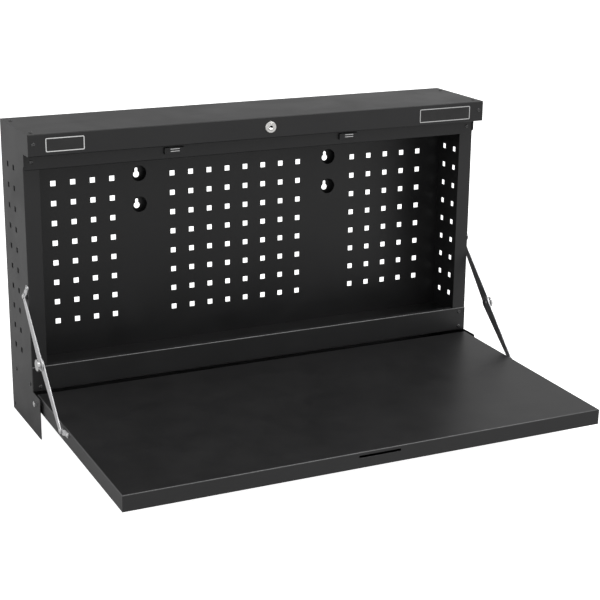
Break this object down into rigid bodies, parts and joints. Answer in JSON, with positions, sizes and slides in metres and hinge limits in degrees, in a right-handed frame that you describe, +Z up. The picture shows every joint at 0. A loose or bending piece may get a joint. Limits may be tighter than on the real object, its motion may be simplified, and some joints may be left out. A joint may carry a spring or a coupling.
{
  "type": "wall mounted folding workbench",
  "caption": "Shallow wall cabinet of folded steel with a perforated back and sides, and a worktop that hinges down on folding stays and locks shut as its door.",
  "frame": {"origin": "centre of the four keyholes, on the wall plane: midway between the left and right pairs and between the upper and lower hanging screws", "axes": "+X to the right of someone facing the cabinet, +Y into the wall, +Z up"},
  "size_m": [0.939, 0.615, 0.5588],
  "materials": {
    "black_powder_coat": "fine-textured satin black powder coat on sheet steel",
    "black_screws": "black zinc, satin",
    "zinc_steel": "bright zinc plate, slightly dull",
    "bright_steel": "nickel plate, polished",
    "nickel_plate": "satin nickel",
    "black_plastic": "moulded, satin",
    "magnet": "sintered ferrite, dull",
    "plate": "black plate with a bright rim, blank"
  },
  "bodies": {
    "cabinet": {"back_panel": "black_powder_coat", "left_back_angle": "black_powder_coat", "right_back_angle": "black_powder_coat", "left_wall_channel": "black_powder_coat", "right_wall_channel": "black_powder_coat", "left_side_panel": "black_powder_coat", "right_side_panel": "black_powder_coat", "top_panel": "black_powder_coat", "top_rail": "black_powder_coat", "bottom_rail": "black_powder_coat", "bottom_shelf": "black_powder_coat", "top_panel_screws": "black_screws", "header_screws": "black_screws", "top_rail_screws": "black_screws", "bottom_rail_screws": "black_screws", "side_screws": "black_screws", "lock_housing": "nickel_plate", "lock_nut": "zinc_steel", "left_catch_body": "black_plastic", "left_catch_poles": "bright_steel", "left_catch_magnet": "magnet", "right_catch_body": "black_plastic", "right_catch_poles": "bright_steel", "right_catch_magnet": "magnet", "left_nameplate": "plate", "right_nameplate": "plate", "hinge_bolts": "bright_steel", "hinge_spacers": "zinc_steel", "hinge_nuts": "zinc_steel", "left_upper_bracket": "zinc_steel", "right_upper_bracket": "zinc_steel", "upper_bracket_screws": "bright_steel", "upper_pivot_rivets": "bright_steel"},
    "worktop": {"worktop_top_skin": "black_powder_coat", "worktop_bottom_skin": "black_powder_coat", "worktop_ribs": "black_powder_coat", "left_lower_bracket": "zinc_steel", "right_lower_bracket": "zinc_steel", "lower_bracket_screws": "bright_steel"},
    "left_upper_arm": {"left_upper_arm": "zinc_steel", "left_elbow_stud": "bright_steel"},
    "right_upper_arm": {"right_upper_arm": "zinc_steel", "right_elbow_stud": "bright_steel"},
    "left_lower_arm": {"left_lower_arm": "zinc_steel", "left_lower_pivot_rivet": "bright_steel"},
    "right_lower_arm": {"right_lower_arm": "zinc_steel", "right_lower_pivot_rivet": "bright_steel"},
    "lock_plug": {"lock_plug": "nickel_plate", "lock_cam": "zinc_steel", "cam_screw": "zinc_steel"}
  },
  "joints": [
    {"name": "worktop_fold", "type": "hinge", "parent": "cabinet", "child": "worktop", "pos_m": [0, -0.1625, -0.3492], "axis": [-1, 0, 0], "range_deg": [0, 91.28]},
    {"name": "left_stay_swing", "type": "hinge", "parent": "cabinet", "child": "left_upper_arm", "pos_m": [-0.457, -0.123, -0.157], "axis": [1, 0, 0], "range_deg": [0, 77.77]},
    {"name": "left_stay_elbow", "type": "hinge", "parent": "left_upper_arm", "child": "left_lower_arm", "pos_m": [-0.457, -0.21699, -0.25654], "axis": [-1, 0, 0], "range_deg": [0, 153.57]},
    {"name": "right_stay_swing", "type": "hinge", "parent": "cabinet", "child": "right_upper_arm", "pos_m": [0.457, -0.123, -0.157], "axis": [1, 0, 0], "range_deg": [0, 77.77]},
    {"name": "right_stay_elbow", "type": "hinge", "parent": "right_upper_arm", "child": "right_lower_arm", "pos_m": [0.457, -0.21699, -0.25654], "axis": [-1, 0, 0], "range_deg": [0, 153.57]},
    {"name": "lock_turn", "type": "hinge", "parent": "cabinet", "child": "lock_plug", "pos_m": [0, -0.1775, 0.126], "axis": [0, 1, 0], "range_deg": [0, 90]}
  ],
  "couplings": [
    {"joint": "left_stay_swing", "follows": "worktop_fold", "ratio": 0.85184},
    {"joint": "left_stay_elbow", "follows": "worktop_fold", "ratio": 1.6823},
    {"joint": "right_stay_swing", "follows": "worktop_fold", "ratio": 0.85184},
    {"joint": "right_stay_elbow", "follows": "worktop_fold", "ratio": 1.6823}
  ]
}
